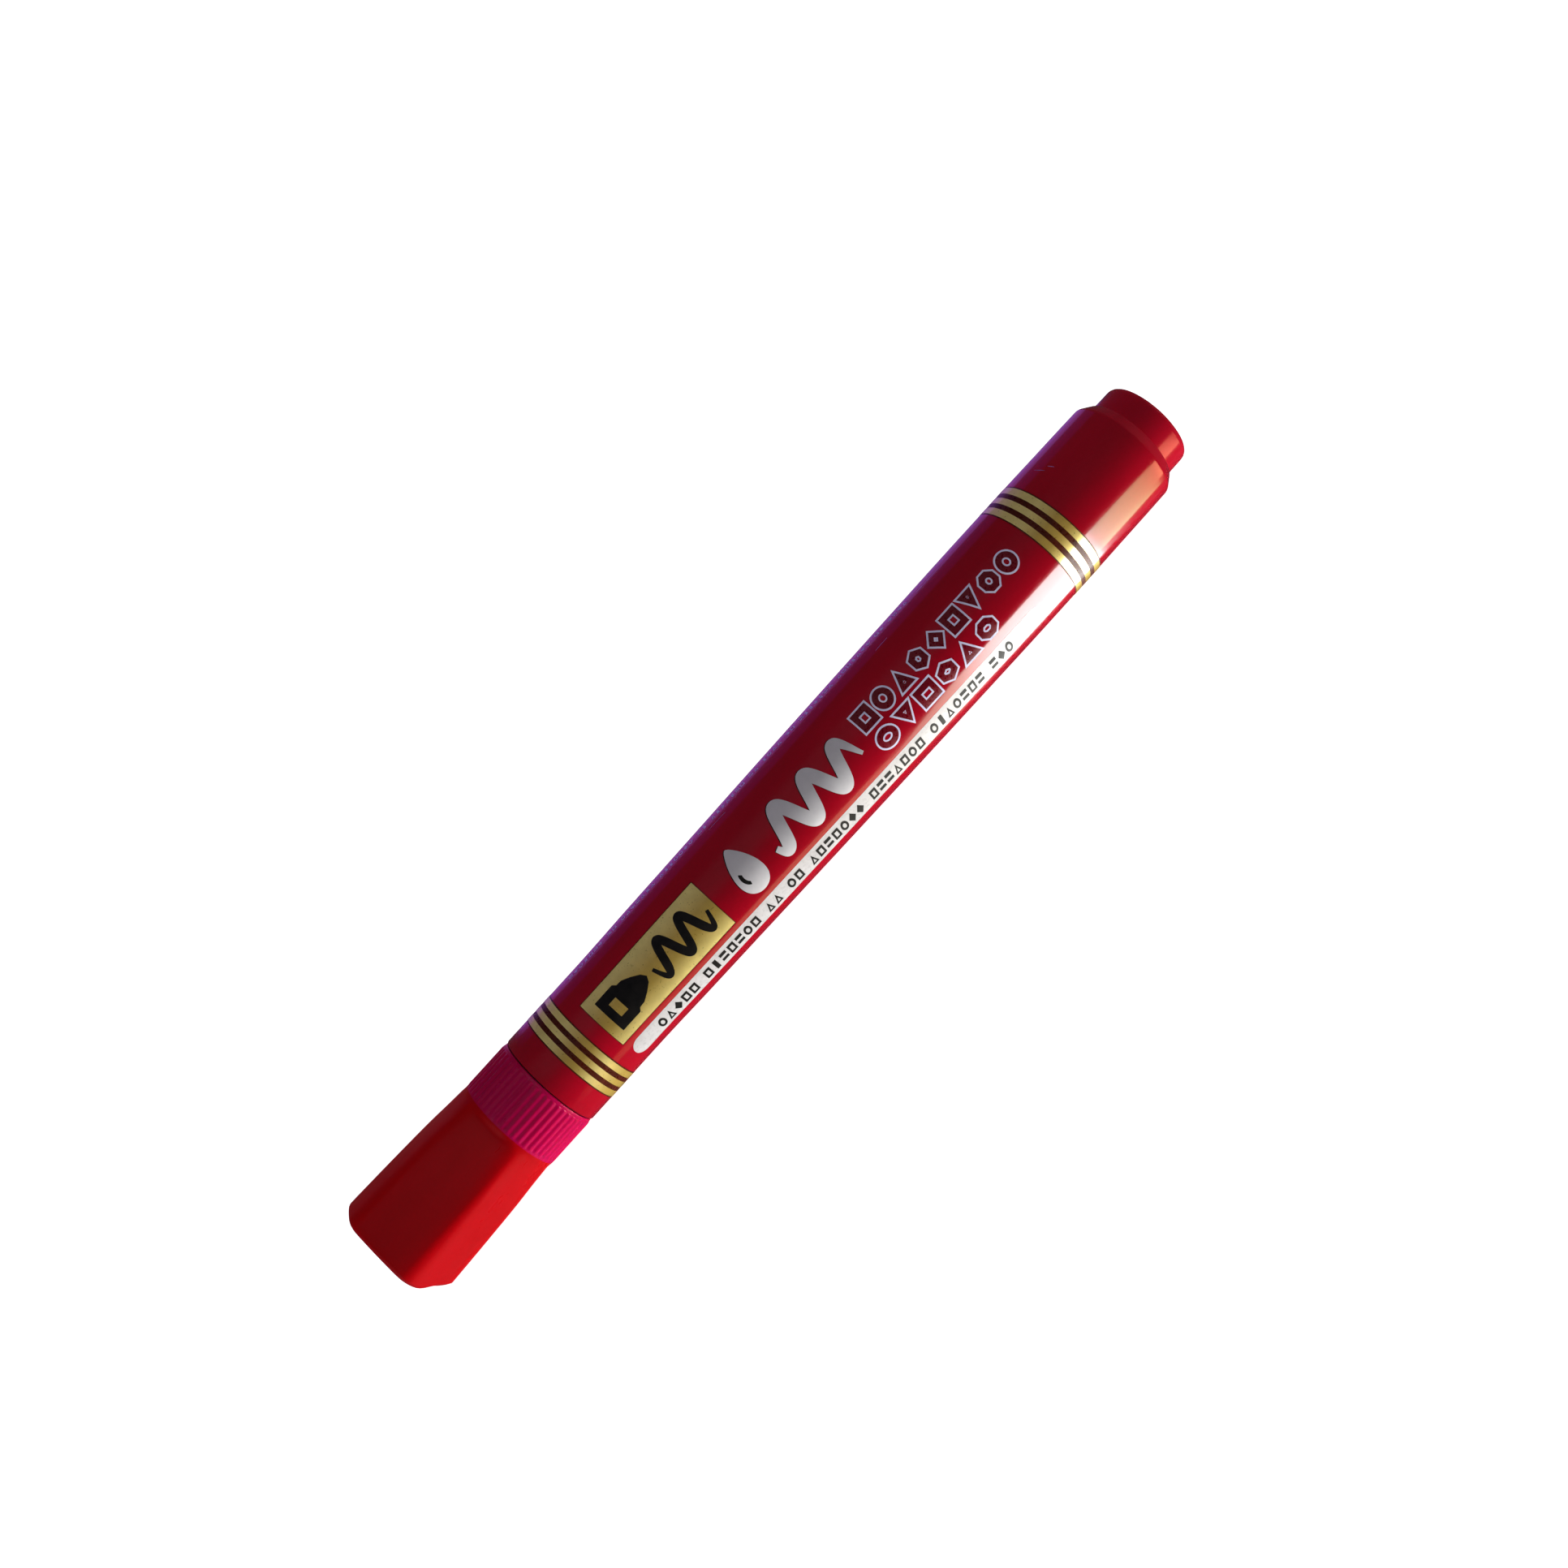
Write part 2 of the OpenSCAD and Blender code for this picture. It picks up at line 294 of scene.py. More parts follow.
def ink(name, colour, other, rough=(0.22, 0.4), shine=0.5):
    """Opaque printing ink with slight mottling."""
    mat, tree, shader = node_material(name)
    clouds = texture(tree, "ShaderNodeTexNoise", 900, 4)
    tint = ramp(tree, clouds, [(0.3, colour), (0.7, other)])
    tree.links.new(tint.outputs[0], shader.inputs["Base Color"])
    shader.inputs["Specular IOR Level"].default_value = shine
    grain = texture(tree, "ShaderNodeTexNoise", 2500, 3)
    gloss = ramp(tree, grain, [(0.3, grey(rough[0])), (0.7, grey(rough[1]))])
    tree.links.new(gloss.outputs[0], shader.inputs["Roughness"])
    bumps(tree, shader, [(grain, 0, 0.2, 0.000005)])
    return mat


def fibre(name, dark, light, scale, stretch, depth):
    """Felt or fibre bundle: matted strands with a soft sheen."""
    mat, tree, shader = node_material(name)
    strands = texture(tree, "ShaderNodeTexNoise", scale, 6, stretch=stretch, rough=0.75)
    clumps = texture(tree, "ShaderNodeTexVoronoi", scale * 0.6, stretch=stretch)
    tint = ramp(tree, strands, [(0.3, dark), (0.7, light)])
    shade = ramp(tree, clumps, [(0.0, grey(0.65)), (0.5, grey(1.0))])
    colour = mix(tree, "MULTIPLY", 1.0, tint, shade)
    tree.links.new(colour.outputs[2], shader.inputs["Base Color"])
    shader.inputs["Roughness"].default_value = 0.85
    shader.inputs["Sheen Weight"].default_value = 0.35
    shader.inputs["Sheen Roughness"].default_value = 0.5
    bumps(tree, shader, [(strands, 0, 0.8, depth), (clumps, 0, 0.5, depth)])
    return mat


barrel_red = plastic("barrel_red", (0.34, 0.0010, 0.009), (0.40, 0.0012, 0.012), (0.46, 0.002, 0.015),
                     rough=(0.12, 0.22), coat=0.7, shine=0.45)
cap_red = plastic("cap_red", (0.41, 0.0004, 0.002), (0.47, 0.0006, 0.003), (0.53, 0.001, 0.005),
                  rough=(0.26, 0.38), sub=0.25, scratch=0.12, shine=0.25)
collar_red = plastic("collar_red", (0.42, 0.001, 0.045), (0.49, 0.0015, 0.066), (0.56, 0.003, 0.095),
                     rough=(0.24, 0.36), sub=0.25, scratch=0.12, shine=0.3)
plug_red = plastic("plug_red", (0.36, 0.001, 0.010), (0.43, 0.0015, 0.015), (0.49, 0.002, 0.020),
                   rough=(0.16, 0.28), sub=0.22, coat=0.5)
holder_black = plastic("holder_black", grey(0.014), grey(0.020), grey(0.030), rough=(0.42, 0.58),
                       sub=0.0)
liner_white = plastic("liner_white", (0.74, 0.74, 0.72), (0.80, 0.80, 0.78), (0.86, 0.86, 0.84),
                      rough=(0.38, 0.5), sub=0.3)
film_clear = plastic("film_clear", (0.70, 0.62, 0.64), (0.78, 0.7, 0.72), (0.84, 0.78, 0.8),
                     rough=(0.2, 0.35), sub=0.1)
# the gold and silver prints carry painted highlights and painted shade at set angles round the barrel
GOLD_PAINTED_HIGHLIGHT, GOLD_MID, GOLD_PAINTED_SHADE = (1.0, 0.84, 0.28), (0.68, 0.47, 0.09), (0.60, 0.40, 0.06)
gold = foil("gold_print", [(-180, GOLD_MID), (-80, GOLD_PAINTED_SHADE), (-45, GOLD_PAINTED_HIGHLIGHT), (-12, GOLD_PAINTED_HIGHLIGHT),
                           (8, GOLD_MID), (22, GOLD_MID), (42, GOLD_PAINTED_HIGHLIGHT), (70, GOLD_MID),
                           (180, GOLD_MID)], grey(0.86))
silver = foil("silver_print", [(-180, grey(0.7)), (-30, grey(0.80)), (-8, grey(0.62)), (8, grey(0.60)),
                               (26, grey(0.80)), (45, grey(0.9)), (180, grey(0.7))],
              grey(0.92), rough=(0.3, 0.46), metallic=0.15)
black_ink = ink("black_ink", (0.006, 0.006, 0.006), (0.012, 0.011, 0.010), rough=(0.35, 0.5), shine=0.15)
brown_ink = ink("brown_ink", (0.045, 0.008, 0.003), (0.08, 0.012, 0.005), shine=0.3)
white_ink = ink("white_ink", (0.46, 0.455, 0.45), (0.54, 0.535, 0.53))
fill_ink = ink("fill_ink", (0.11, 0.001, 0.006), (0.16, 0.0015, 0.008))
pale_ink = ink("pale_ink", (0.62, 0.62, 0.84), (0.80, 0.79, 0.95))
violet_ink = ink("violet_ink", (0.30, 0.16, 0.50), (0.42, 0.26, 0.66))
felt = fibre("felt", (0.10, 0.002, 0.010), (0.30, 0.006, 0.03), 2600, (0.35, 1, 1), 0.00005)
ink_fibre = fibre("ink_fibre", (0.16, 0.003, 0.02), (0.36, 0.01, 0.05), 1800, (0.08, 1, 1), 0.00006)


# ---------------------------------------------------------------- the cap

CAP_END = -70.0         # closed end of the cap, mm along the marker
COLLAR = -49.0          # where the flats end and the round collar starts
RIBS = 48
RIB_FOOT = 6.975        # radius between the ribs
RIB_HEIGHT = 0.115
STEPS_PER_RIB = 12      # mesh steps round the cap for each rib
CUT_TURN = 92           # the end corner that is cut off more, degrees from the top towards -Y
CUT_SPREAD = 30         # half of its spread, degrees


def cap_outline(x, turn):
    """Radius of the cap's six-sided body at x, for an array of turns in radians.
    Three wide and three narrow faces, slightly bowed, are blended into a round corner radius."""
    corner = float(curve_through([(-70, 8.40), (-68, 8.36), (-64, 8.21), (-60.2, 8.00), (-56.3, 7.73),
                                  (-52.4, 7.33), (-49, 7.1)], x))
    to_end = (COLLAR - x) / (COLLAR - CAP_END)
    wide = 6.45 + (6.93 - 6.45) * to_end
    narrow = 7.02 + (7.79 - 7.02) * to_end
    soft = 0.50 + 0.55 * to_end
    value = np.full_like(turn, corner)
    for centre, apothem, bow in ((0, wide, 0.76), (120, wide, 0.76), (240, wide, 0.76),
                                 (60, narrow, 0.9), (180, narrow, 0.9), (300, narrow, 0.9)):
        delta = np.cos(turn - math.radians(centre))
        flat = np.where(delta > 0.3, apothem / np.maximum(delta, 0.3) ** bow, 99.0)
        gap = np.clip(0.5 + 0.5 * (flat - value) / soft, 0, 1)
        value = value * gap + flat * (1 - gap) - soft * gap * (1 - gap)
    # a little fuller on the -Y side
    fuller = 0.30 * to_end
    return value + fuller * np.exp(-((turn - math.radians(98)) / math.radians(24)) ** 2)


def build_cap():
    segments = RIBS * STEPS_PER_RIB
    turn = np.arange(segments) * 2 * math.pi / segments
    rings = []
    # closed end: flat face, rounded edge, with one corner cut off more than the rest
    off = (turn - math.radians(CUT_TURN) + math.pi) % (2 * math.pi) - math.pi
    cut = np.exp(-(off / math.radians(CUT_SPREAD))**4)
    edge = 0.95 + 1.7 * cut
    rim = cap_outline(CAP_END + 1.05, turn)
    for share in (0.25, 0.5, 0.75, 0.9):
        rings.append((np.full(segments, CAP_END + 0.12 * share**2), (rim - edge) * share))
    for t in np.linspace(0, 1, 13):
        flat = 0.65 * cut
        x = CAP_END + 0.12 + (edge - 0.12) * (t * flat + (1 - math.cos(t * math.pi / 2)) * (1 - flat))
        rings.append((x, rim - edge * ((1 - t) * flat + (1 - math.sin(t * math.pi / 2)) * (1 - flat))))
    for t in np.linspace(0, 1, 40)[1:]:
        x = (CAP_END + edge) * (1 - t) + (COLLAR - 1.2) * t
        rings.append((x, cap_outline(float(x.min()), turn)))
    # flats scoop up to the collar
    for x in (-50.0, -49.8, -49.6, -49.4, -49.25, -49.12, -49.0):
        t = float(smoothstep(COLLAR - 1.3, COLLAR, x)) ** 1.6
        body = cap_outline(x, turn)
        rings.append((np.full(segments, x), body * (1 - t) + 7.06 * t))
    # ribs
    crest = (0.5 + 0.5 * np.cos(RIBS * turn)) ** 0.8
    for x in (-48.92, -48.84, -48.76, -48.68, -48.55, -48.4, -48.0, -47, -46, -45, -44, -43.3, -42.95,
              -42.78, -42.68, -42.60, -42.53, -42.46, -42.40):
        rise = float(smoothstep(-48.95, -48.5, x))
        fall = math.sqrt(max(0.0, 1 - max(0.0, (x + 42.78) / 0.38) ** 2))
        start = 7.06 + (RIB_FOOT - 7.06) * rise
        rings.append((np.full(segments, x), start + RIB_HEIGHT * crest * rise * fall))
    # smooth lip and mouth edge
    for x, r in ((-42.34, 6.97), (-42.20, 6.97), (-42.08, 6.94), (-42.01, 6.89), (-41.98, 6.82),
                 (-41.98, 6.70), (-42.08, 6.58), (-42.3, 6.42), (-42.42, 6.365), (-42.7, 6.36),
                 (-44.75, 6.36), (-44.95, 6.47), (-45.3, 6.48), (-45.65, 6.47), (-45.85, 6.36),
                 (-48.0, 6.36), (-49.7, 6.36), (-49.95, 6.33), (-50.4, 5.5), (-50.6, 5.40),
                 (-60, 5.35), (-67.6, 5.31), (-68.3, 5.2), (-68.6, 4.9), (-68.6, 3), (-68.6, 1.2)):
        rings.append((np.full(segments, x), np.full(segments, r)))
    verts, faces, owners = [], [], []
    sin, cos = np.sin(turn), np.cos(turn)
    for x, r in rings:
        verts.extend(zip(x * MM, -r * sin * MM, (AXIS_Z + r * cos) * MM))
    count = len(rings)
    for i in range(count - 1):
        collar = -49.02 < rings[i][0][0] and rings[i][1][0] > 6.75
        for k in range(segments):
            n = (k + 1) % segments
            a, b = i * segments, (i + 1) * segments
            faces.append((a + k, a + n, b + n, b + k))
            owners.append(1 if collar else 0)
    first, last = len(verts), len(verts) + 1
    verts.append((CAP_END * MM, 0, AXIS_Z * MM))
    verts.append((-68.6 * MM, 0, AXIS_Z * MM))
    top = (count - 1) * segments
    for k in range(segments):
        n = (k + 1) % segments
        faces.append((first, n, k))
        faces.append((last, top + k, top + n))
        owners += [0, 0]
    cap = new_mesh("cap_body", verts, faces, cap_red, "cap", replaces=("cap_shell",),
                   slot="cap_plastic", sharp=50)
    cap.data.materials.append(collar_red)
    if len(cap.data.polygons) == len(owners):
        cap.data.polygons.foreach_set("material_index", owners)
    return cap


build_cap()

turned("cap_liner", filleted([
    (-68.5, 0, 0), (-68.5, 5.22, 0.3), (-50.75, 5.34, 0.15), (-50.28, 5.05, 0.1), (-50.25, 4.64, 0.1),
    (-51.75, 3.75, 0.3), (-53.35, 3.75, 0.3), (-54.95, 3.56, 0.3), (-67.3, 3.55, 0.3), (-67.7, 3.15, 0.2),
    (-67.7, 0, 0)]), liner_white, "cap", closed=False, replaces=("inner_cap",), slot="liner_plastic")


# ---------------------------------------------------------------- the barrel and its ends

def build_barrel():
    xs = np.linspace(-41.6, 63.6, 90)
    profile = filleted([(-41.85, 5.6, 0), (-41.85, 7.04, 0.2), (-40.5, 7.04, 0)])[1:-1]
    profile += [(float(x), float(barrel_radius(x))) for x in xs if x > profile[-1][0] + 0.05]
    profile += filleted([(63.7, 7.705, 0), (64.75, 7.70, 0.8), (66.2, 6.74, 0.3), (66.2, 6.58, 0)], 7)[1:-1]
    profile += [(66.2, 6.58), (66.1, 6.55), (57.0, 6.55), (57.0, 6.25), (-34.0, 5.75), (-34.0, 5.6),
                (-41.7, 5.6), (-41.85, 5.7)]
    return turned("barrel_tube", profile, barrel_red, "marker", segments=256,
                  replaces=("barrel",), slot="barrel_plastic")


build_barrel()

turned("end_plug", filleted([
    (50.8, 2.4, 0), (50.8, 3.4, 0.2), (68.6, 3.4, 0.1), (68.6, 5.22, 0.2), (57.2, 5.22, 0.1),
    (57.5, 6.52, 0.2), (66.16, 6.52, 0.02), (66.2, 6.35, 0.02), (70.0, 6.30, 0.85), (70.0, 2.6, 0.4),
    (69.93, 2.3, 0.3), (69.93, 0, 0), (68.6, 0, 0), (68.6, 2.4, 0.1), (50.8, 2.4, 0)]),
    plug_red, "marker", closed=False, replaces=("tail_plug",), slot="plug_plastic")

BEAD = -45.4            # snap bead on the nib holder's skirt
turned("front_collar", filleted([
    (-58.2, 2.05, 0), (-58.2, 3.1, 0.35), (-50.6, 3.65, 0.5), (-49.0, 5.7, 0.3), (-48.5, 6.15, 0.4),
    (BEAD - 0.35, 6.15, 0.1), (BEAD, 6.31, 0.15), (BEAD + 0.35, 6.15, 0.1),
    (-41.85, 6.15, 0.05), (-41.85, 5.57, 0.02), (-34.6, 5.57, 0.3), (-34.6, 4.47, 0.1),
    (-47.4, 4.47, 0.3), (-47.4, 2.05, 0.1), (-58.2, 2.05, 0)]),
    holder_black, "marker", closed=False, replaces=("nib_holder",), slot="holder_plastic")

turned("felt_nib",
       [(-62.8 + 2.6 * (1 - math.cos(math.pi / 2 * k / 16)),
         2.0 * math.sin(math.pi / 2 * k / 16)) for k in range(17)]
       + [(x, 2.0) for x in (-58, -54, -50, -46, -42, -38, -34, -32.2)]
       + [(-31, 1.6), (-28.9, 0.5), (-28.8, 0.0)],
       felt, "marker", segments=96, closed=False, replaces=("nib",), slot="felt")

turned("ink_core", [(-33.9, 2.05), (-33.9, 5.1), (-33.7, 5.3), (50.3, 5.3), (50.5, 5.1), (50.5, 0),
                    (-28.7, 0), (-28.7, 2.05), (-33.9, 2.05)],
       ink_fibre, "marker", segments=96, closed=False, replaces=("ink_reservoir",), slot="ink_fibre")
turned("ink_film", [(-33.5, 5.35), (-33.5, 5.5), (50.1, 5.5), (50.1, 5.35)],
       film_clear, "marker", segments=96, replaces=("reservoir_film",), slot="film")


# ---------------------------------------------------------------- the printed decoration

def print_point(x, v, lift):
    """v is the arc length from the decoration's centre line, towards -Y."""
    turn = math.radians(PRINT_TURN) + v / PRINT_RADIUS
    return point(x, float(barrel_radius(x)) + lift, turn)


def area(loop):
    return sum(a[0] * b[1] - b[0] * a[1] for a, b in zip(loop, loop[1:] + loop[:1])) / 2


def printed(name, loops, lift, material, strip=0.5, strokes=()):
    """Thin print that follows the barrel. loops are outlines in (x, v) mm, filled even-odd;
    strokes are (path, widths) that are always filled."""
    coords, edges = [], []
    for loop in list(loops) + [stroke(*s) for s in strokes]:
        start = len(coords)
        coords += [Vector(p) for p in loop]
        edges += [(start + i, start + (i + 1) % len(loop)) for i in range(len(loop))]
    flat = np.array([list(c) for c in coords])
    lo, hi = flat.min(0) - 0.1, flat.max(0) + 0.1
    for v in np.arange(math.floor(lo[1] / strip) * strip, hi[1], strip):
        coords += [Vector((lo[0], v)), Vector((hi[0], v))]
        edges.append((len(coords) - 2, len(coords) - 1))
    span = max(2.0, strip)
    for x in np.arange(math.floor(lo[0] / span) * span, hi[0], span):
        coords += [Vector((x, lo[1])), Vector((x, hi[1]))]
        edges.append((len(coords) - 2, len(coords) - 1))
    verts, _, tris, _, _, _ = delaunay_2d_cdt(coords, edges, [], 0, 1e-5)
    p = np.array([list(v) for v in verts])
    tris = np.array([list(t) for t in tris])
    centre = p[tris].mean(1)
    inside = np.zeros(len(tris), bool)
    for loop in loops:
        a = np.array(loop, float)
        b = np.roll(a, -1, 0)
        for (x0, y0), (x1, y1) in zip(a, b):
            cross = (y0 > centre[:, 1]) != (y1 > centre[:, 1])
            if cross.any():
                at = x0 + (centre[cross, 1] - y0) * (x1 - x0) / (y1 - y0)
                inside[cross] ^= centre[cross, 0] < at
    for path, widths in strokes:
        a, w = np.array(path, float), np.array(widths, float) / 2
        for i in range(len(a) - 1):
            d = a[i + 1] - a[i]
            t = np.clip(((centre - a[i]) @ d) / (d @ d), 0, 1)
            away = np.linalg.norm(centre - a[i] - t[:, None] * d, axis=1)
            along_it = ((t > 0) | (i > 0)) & ((t < 1) | (i < len(a) - 2))
            inside |= (away < (w[i] + (w[i + 1] - w[i]) * t) * 0.99) & along_it
    tris = tris[inside]
    used = np.unique(tris)
    index = np.full(len(p), -1)
    index[used] = np.arange(len(used))
    points = [print_point(p[i, 0], p[i, 1], lift) for i in used]
    faces = index[tris]
    mesh = bpy.data.meshes.new(name)
    mesh.from_pydata(points, [], [tuple(int(i) for i in f) for f in faces])
    mesh.validate()
    mesh.shade_smooth()
    normals = []
    for v in mesh.vertices:
        n = Vector((0, v.co.y, v.co.z - AXIS_Z * MM)).normalized()
        normals.append(n)
    flip = sum(1 for f in mesh.polygons if f.normal.dot(normals[f.vertices[0]]) < 0)
    if flip > len(mesh.polygons) / 2:
        mesh.flip_normals()
    mesh.normals_split_custom_set_from_vertices(normals)
    mesh.materials.append(material)
    obj = bpy.data.objects.new(name, mesh)
    bpy.context.scene.collection.objects.link(obj)
    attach(obj, "marker")
    return obj


def band(name, x0, x1, lift, material, tilt=0.0):
    """Printed ring round the barrel, between two positions along it."""
    segments = 256
    rows = max(2, int(round((x1 - x0) / 0.5)) + 1)
    verts, faces = [], []
    for i in range(rows):
        x = x0 + (x1 - x0) * i / (rows - 1)
        for k in range(segments):
            t = 2 * math.pi * k / segments
            xx = x + tilt * math.sin(t - math.radians(PRINT_TURN))
            verts.append(point(xx, float(barrel_radius(xx)) + lift, t))
    for i in range(rows - 1):
        for k in range(segments):
            n = (k + 1) % segments
            a, b = i * segments, (i + 1) * segments
            faces.append((a + k, a + n, b + n, b + k))
    return new_mesh(name, verts, faces, material, "marker")


def ellipse(cx, cy, rx, ry=None, n=28, start=0.0):
    ry = rx if ry is None else ry
    turns = [start + 2 * math.pi * k / n for k in range(n)]
    return [(cx + rx * math.cos(t), cy + ry * math.sin(t)) for t in turns]


def rounded_box(x0, x1, y0, y1, r, n=6):
    out = []
    corners = ((x1 - r, y1 - r, 0), (x0 + r, y1 - r, 90), (x0 + r, y0 + r, 180), (x1 - r, y0 + r, 270))
    for cx, cy, a in corners:
        for k in range(n + 1):
            t = math.radians(a + 90 * k / n)
            out.append((cx + r * math.cos(t), cy + r * math.sin(t)))
    return out


def stroke(path, widths):
    """Outline of a brush stroke along path, with a width at each point."""
    p = np.array(path, float)
    w = np.array(widths, float) / 2
    d = np.gradient(p, axis=0)
    d /= np.linalg.norm(d, axis=1)[:, None]
    n = np.stack([-d[:, 1], d[:, 0]], 1)
    left, right = p + n * w[:, None], p - n * w[:, None]
    return [tuple(q) for q in left] + [tuple(q) for q in right[::-1]]


def inset(loop, d):
    """Shrinks a convex outline by d."""
    if area(loop) < 0:
        loop = loop[::-1]
    out = []
    n = len(loop)
    for i in range(n):
        a, b, c = (np.array(loop[j % n], float) for j in (i - 1, i, i + 1))
        e1, e2 = (b - a) / np.linalg.norm(b - a), (c - b) / np.linalg.norm(c - b)
        n1, n2 = np.array([-e1[1], e1[0]]), np.array([-e2[1], e2[0]])
        m = n1 + n2
        m /= max(1e-6, m @ n1)
        q = b + m * d
        out.append((float(q[0]), float(q[1])))
    return out


# gold bands, three stripes in each group, on a dark ground
LOW_BANDS = [(-38.08, -37.22), (-36.56, -35.77), (-35.11, -34.25)]
HIGH_BANDS = [(46.87, 47.87), (48.60, 49.54), (50.27, 51.27)]
for group, stripes, tilt in (("front", LOW_BANDS, 0.0), ("tail", HIGH_BANDS, 0.33)):
    band(f"band_ground_{group}", stripes[0][0] - 0.17, stripes[-1][1] + 0.17, 0.010, brown_ink, tilt)
    for i, (a, b) in enumerate(stripes):
        band(f"band_{group}_{i + 1}", a, b, 0.022, gold, tilt)

# gold panel with a nib and the line it draws
printed("panel_edge", [rounded_box(-32.05, -12.02, -3.72, 4.12, 0.12)], 0.008, brown_ink)
printed("panel", [rounded_box(-31.95, -12.12, -3.6, 4.0, 0.1)], 0.018, gold)
nib_icon = [(-30.6, -2.3), (-27.6, -2.3), (-27.2, -1.85), (-26.4, -1.8), (-25.3, -1.2), (-24.3, -0.5),
            (-23.9, 0.2), (-24.3, 0.9), (-25.3, 1.6), (-26.4, 2.2), (-27.2, 2.25), (-27.6, 2.7), (-30.6, 2.7)]
slot_in_icon = [(-29.5, -0.9), (-28.3, -0.9), (-28.3, 1.3), (-29.5, 1.3)]
wave_x = np.linspace(-22.9, -13.3, 110)
wave = [(x, 0.2 + 2.15 * math.sin((x + 22.9) / 9.6 * 2.5 * 2 * math.pi)) for x in wave_x]
wave_w = [0.45 + 0.65 * min(1, 6 * k / 109, 6 * (109 - k) / 109) for k in range(110)]
printed("panel_icon", [nib_icon, slot_in_icon], 0.028, black_ink, strokes=[(wave, wave_w)])

# silver mark: an ink drop and a brush stroke
drop = []
for k in range(72):
    t = 2 * math.pi * k / 72
    drop.append((-6.6 + 2.6 * math.sin(t) * (0.30 + 0.70 * math.sin(min(t, 2 * math.pi - t) / 2) ** 1.4),
                 0.35 - 3.5 * math.cos(t)))
glint = [(-6.9 - 1.05 * math.cos(a), 1.0 + 1.3 * math.sin(a)) for a in np.linspace(-0.7, 1.2, 14)]
glint += [(-6.9 - 0.55 * math.cos(a), 1.0 + 0.85 * math.sin(a)) for a in np.linspace(1.1, -0.6, 14)]
brush_x = np.linspace(0, 1, 150)
brush = [(-2.2 + 15.6 * t, 0.3 + 2.55 * math.sin(t * 3.0 * 2 * math.pi + 0.5) * (1 - 0.12 * t))
         for t in brush_x]
brush_w = [1.75 * min(1.0, 0.45 + 6 * t, 0.28 + 5.5 * (1 - t)) for t in brush_x]
SHADOW_STEP = 0.09      # how far the mark's dark edge is set off
shade_drop = [(x - SHADOW_STEP, v - SHADOW_STEP) for x, v in drop]
shade_brush = [(x - SHADOW_STEP, v - SHADOW_STEP) for x, v in brush]
printed("mark_shadow", [shade_drop], 0.008, black_ink, strokes=[(shade_brush, brush_w)])
printed("mark", [drop, glint], 0.018, silver, strokes=[(brush, brush_w)])


# two rows of outlined shapes
def shape(kind, cx, cy, w, h):
    if kind == "square":
        return [(cx - w, cy - h), (cx + w, cy - h), (cx + w, cy + h), (cx - w, cy + h)]
    if kind == "circle":
        return ellipse(cx, cy, w, h, 32)
    if kind == "up":
        return [(cx - w, cy + h), (cx, cy - h), (cx + w, cy + h)]
    if kind == "down":
        return [(cx - w, cy - h), (cx + w, cy - h), (cx, cy + h)]
    if kind == "diamond":
        return [(cx - w, cy), (cx, cy - h), (cx + w, cy), (cx, cy + h)]
    sides = {"hexagon": 6, "octagon": 8}[kind]
    return ellipse(cx, cy, w, h, sides, math.pi / sides)


def outlined_row(name, kinds, x0, x1, cy, half_height, line=0.24):
    """Hollow shapes: a dark fill with a pale line round its outside and its inside."""
    pitch = (x1 - x0) / len(kinds)
    lines, fills = [], []
    for i, kind in enumerate(kinds):
        outer = shape(kind, x0 + pitch * (i + 0.5), cy, pitch / 2 - 0.06, half_height)
        if area(outer) < 0:
            outer = outer[::-1]
        body = inset(outer, line)
        depth = 0.62 if kind in ("up", "down", "diamond") else 0.78
        hole = inset(outer, line + depth)
        lines += [outer, body]
        fills += [body, hole]
        if half_height > line * 2 + depth + 0.12:
            lines += [hole, inset(outer, line * 1.9 + depth)]
    printed(name + "_fill", fills, 0.012, fill_ink)
    printed(name, lines, 0.020, pale_ink)


outlined_row("row_upper", ["square", "circle", "up", "hexagon", "diamond", "square", "down", "octagon",
                           "circle"], 15.1, 44.1, -1.25, 1.6)
outlined_row("row_lower", ["circle", "down", "square", "hexagon", "up", "octagon"],
             15.1, 36.7, 2.3, 1.5)

# white strip with small marks
printed("strip", [rounded_box(-31.75, 41.9, 4.95, 7.95, 1.45, 10)], 0.012, white_ink)


def small_marks(x0, x1, cy, height, pitch, rng):
    """Small plain marks in groups, as fine print reads from a distance."""
    loops, x = [], x0
    while x < x1:
        for _ in range(rng.choice((2, 4, 5, 6, 7))):
            if x + pitch > x1:
                break
            w, h, cx = pitch * 0.38, height / 2, x + pitch / 2
            kind = rng.choice(("box", "ring", "bar", "up", "tee", "steps"))
            if kind == "box":
                loops.append(shape("square", cx, cy, w, h * 0.95))
                loops.append(shape("square", cx, cy, w * 0.45, h * 0.5))
            elif kind == "ring":
                loops.append(ellipse(cx, cy, w * 1.05, h, 16))
                loops.append(ellipse(cx, cy, w * 0.5, h * 0.5, 12))
            elif kind == "bar":
                loops.append(shape("square", cx, cy, w * 0.55, h))
            elif kind == "up":
                loops.append(shape("up", cx, cy, w, h))
                loops.append(shape("up", cx, cy + h * 0.25, w * 0.4, h * 0.4))
            elif kind == "tee":
                loops.append(shape("square", cx, cy - h * 0.62, w, h * 0.3))
                loops.append(shape("square", cx, cy + h * 0.45, w, h * 0.3))
            else:
                loops.append(shape("diamond", cx, cy, w * 1.1, h))
            x += pitch
        x += pitch * 0.8
    return loops


printed("strip_marks", small_marks(-27.6, 37.5, 6.45, 1.8, 1.4, rng), 0.022, black_ink, strip=0.6)
printed("fine_marks", small_marks(-31.0, 32.0, -9.0, 1.0, 0.9, rng), 0.014, violet_ink, strip=0.6)


